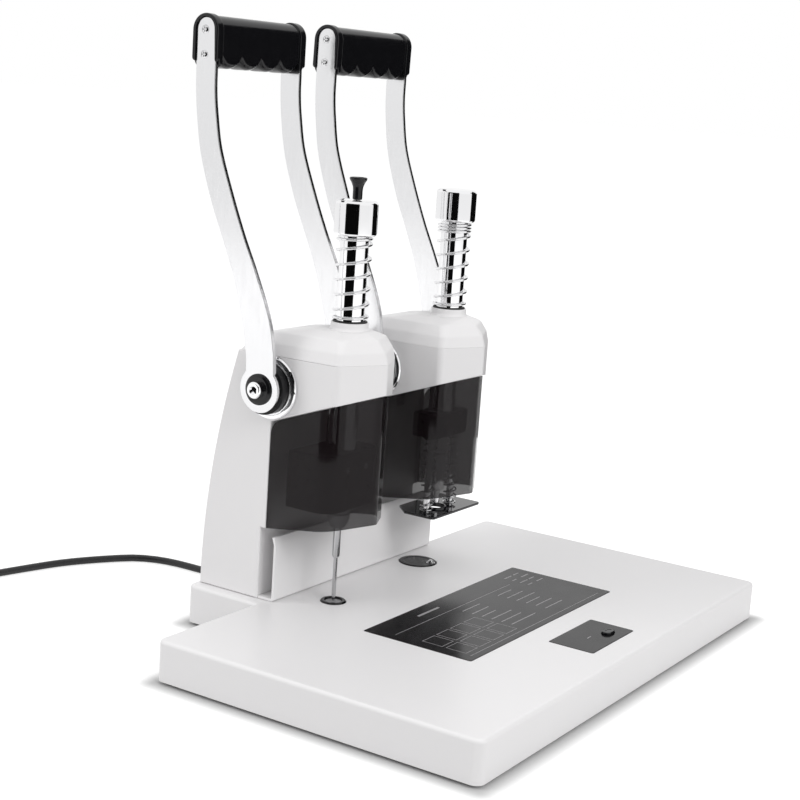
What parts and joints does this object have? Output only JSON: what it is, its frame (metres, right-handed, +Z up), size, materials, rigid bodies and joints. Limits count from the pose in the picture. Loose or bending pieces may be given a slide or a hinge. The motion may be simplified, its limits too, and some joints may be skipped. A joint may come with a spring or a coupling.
{
  "type": "paper binding machine",
  "caption": "Desk binding machine with a drilling head and a hot-riveting head on one column, each worked by its own lever over a flat paper table.",
  "frame": {"origin": "on the floor, under the middle of the machine's footprint without its cord", "axes": "+Z up, +X to the operator's right, +Y away from the operator, from the table's front edge towards the column"},
  "size_m": [0.4765, 0.6782, 0.4787],
  "materials": {
    "white_paint": "satin",
    "grey_steel": "satin",
    "bright_steel": "polished",
    "chrome": "polished",
    "spring_steel": "polished",
    "black_plastic": "gloss",
    "black_paint": "satin",
    "black_mirror": "gloss",
    "smoked_plastic": "gloss",
    "panel_film": "satin",
    "black_rubber": "matte",
    "cord_rubber": "matte"
  },
  "bodies": {
    "machine": {"base_shell": "white_paint", "base_plate": "grey_steel", "foot_front_left": "black_rubber", "foot_front_right": "black_rubber", "foot_rear_left": "black_rubber", "foot_rear_right": "black_rubber", "column_shell": "white_paint", "drill_head_cap": "white_paint", "rivet_head_cap": "white_paint", "paper_gauge": "white_paint", "cutting_pad": "bright_steel", "pad_ring": "black_plastic", "die_disc": "black_paint", "lower_die": "bright_steel", "label_panel": "panel_film", "switch_plate": "panel_film", "drill_cover": "smoked_plastic", "rivet_cover": "smoked_plastic", "cord_gland": "black_rubber", "cord_run": "cord_rubber", "cord_coil": "cord_rubber", "plug": "black_rubber", "drill_ring_left": "chrome", "drill_ring_right": "chrome", "drill_post_spring": "spring_steel", "rivet_ring_left": "chrome", "rivet_ring_right": "chrome", "rivet_post_spring": "spring_steel"},
    "button": {"power_button": "black_plastic"},
    "drill_lever": {"drill_lever_shaft": "grey_steel", "drill_hub_left": "black_paint", "drill_arm_left": "bright_steel", "drill_pivot_screw_left": "chrome", "drill_hub_right": "black_paint", "drill_arm_right": "bright_steel", "drill_pivot_screw_right": "chrome", "drill_grip": "black_plastic"},
    "rivet_lever": {"rivet_lever_shaft": "grey_steel", "rivet_hub_left": "black_paint", "rivet_arm_left": "bright_steel", "rivet_pivot_screw_left": "chrome", "rivet_hub_right": "black_paint", "rivet_arm_right": "bright_steel", "rivet_pivot_screw_right": "chrome", "rivet_grip": "black_plastic"},
    "drill_feed": {"drill_quill": "chrome", "drill_quill_cap": "chrome", "drive_case": "black_plastic"},
    "spindle": {"chuck": "grey_steel", "drill_bit": "bright_steel"},
    "clearing_needle": {"needle": "bright_steel", "needle_knob": "black_plastic"},
    "rivet_press": {"rivet_quill": "chrome", "rivet_quill_cap": "chrome", "guide_block": "black_paint", "rivet_punch": "bright_steel", "guide_spring_left": "spring_steel", "guide_spring_right": "spring_steel"},
    "presser_foot": {"foot_plate": "black_mirror"}
  },
  "joints": [
    {"name": "drill_lever_swing", "type": "hinge", "parent": "machine", "child": "drill_lever", "pos_m": [-0.0715, 0.09815, 0.2024], "axis": [1, 0, 0], "range_deg": [0, 59.9]},
    {"name": "drill_stroke", "type": "slide", "parent": "machine", "child": "drill_feed", "axis": [0, 0, -1], "range_m": [0, 0.0356], "stiffness_N_per_m": 1200, "springref_m": -0.025, "deforming": ["drill_post_spring"]},
    {"name": "rivet_lever_swing", "type": "hinge", "parent": "machine", "child": "rivet_lever", "pos_m": [0.0715, 0.09815, 0.2024], "axis": [1, 0, 0], "range_deg": [0, 79.1]},
    {"name": "rivet_stroke", "type": "slide", "parent": "machine", "child": "rivet_press", "axis": [0, 0, -1], "range_m": [0, 0.047], "stiffness_N_per_m": 1200, "springref_m": -0.025, "deforming": ["rivet_post_spring"]},
    {"name": "spindle_spin", "type": "hinge", "parent": "drill_feed", "child": "spindle", "pos_m": [-0.0715, 0.05565, 0.1], "axis": [0, 0, 1], "continuous": true},
    {"name": "needle_lift", "type": "slide", "parent": "machine", "child": "clearing_needle", "axis": [0, 0, 1], "range_m": [0, 0.3]},
    {"name": "foot_lift", "type": "slide", "parent": "rivet_press", "child": "presser_foot", "axis": [0, 0, 1], "range_m": [0, 0.0095], "stiffness_N_per_m": 300, "springref_m": -0.02, "deforming": ["guide_spring_left", "guide_spring_right"]},
    {"name": "power_press", "type": "slide", "parent": "machine", "child": "button", "axis": [0, 0, -1], "range_m": [0, 0.0015], "stiffness_N_per_m": 400, "springref_m": -0.001}
  ],
  "couplings": [
    {"joint": "drill_stroke", "follows": "drill_lever_swing", "m_per_rad": 0.034},
    {"joint": "rivet_stroke", "follows": "rivet_lever_swing", "m_per_rad": 0.034}
  ]
}
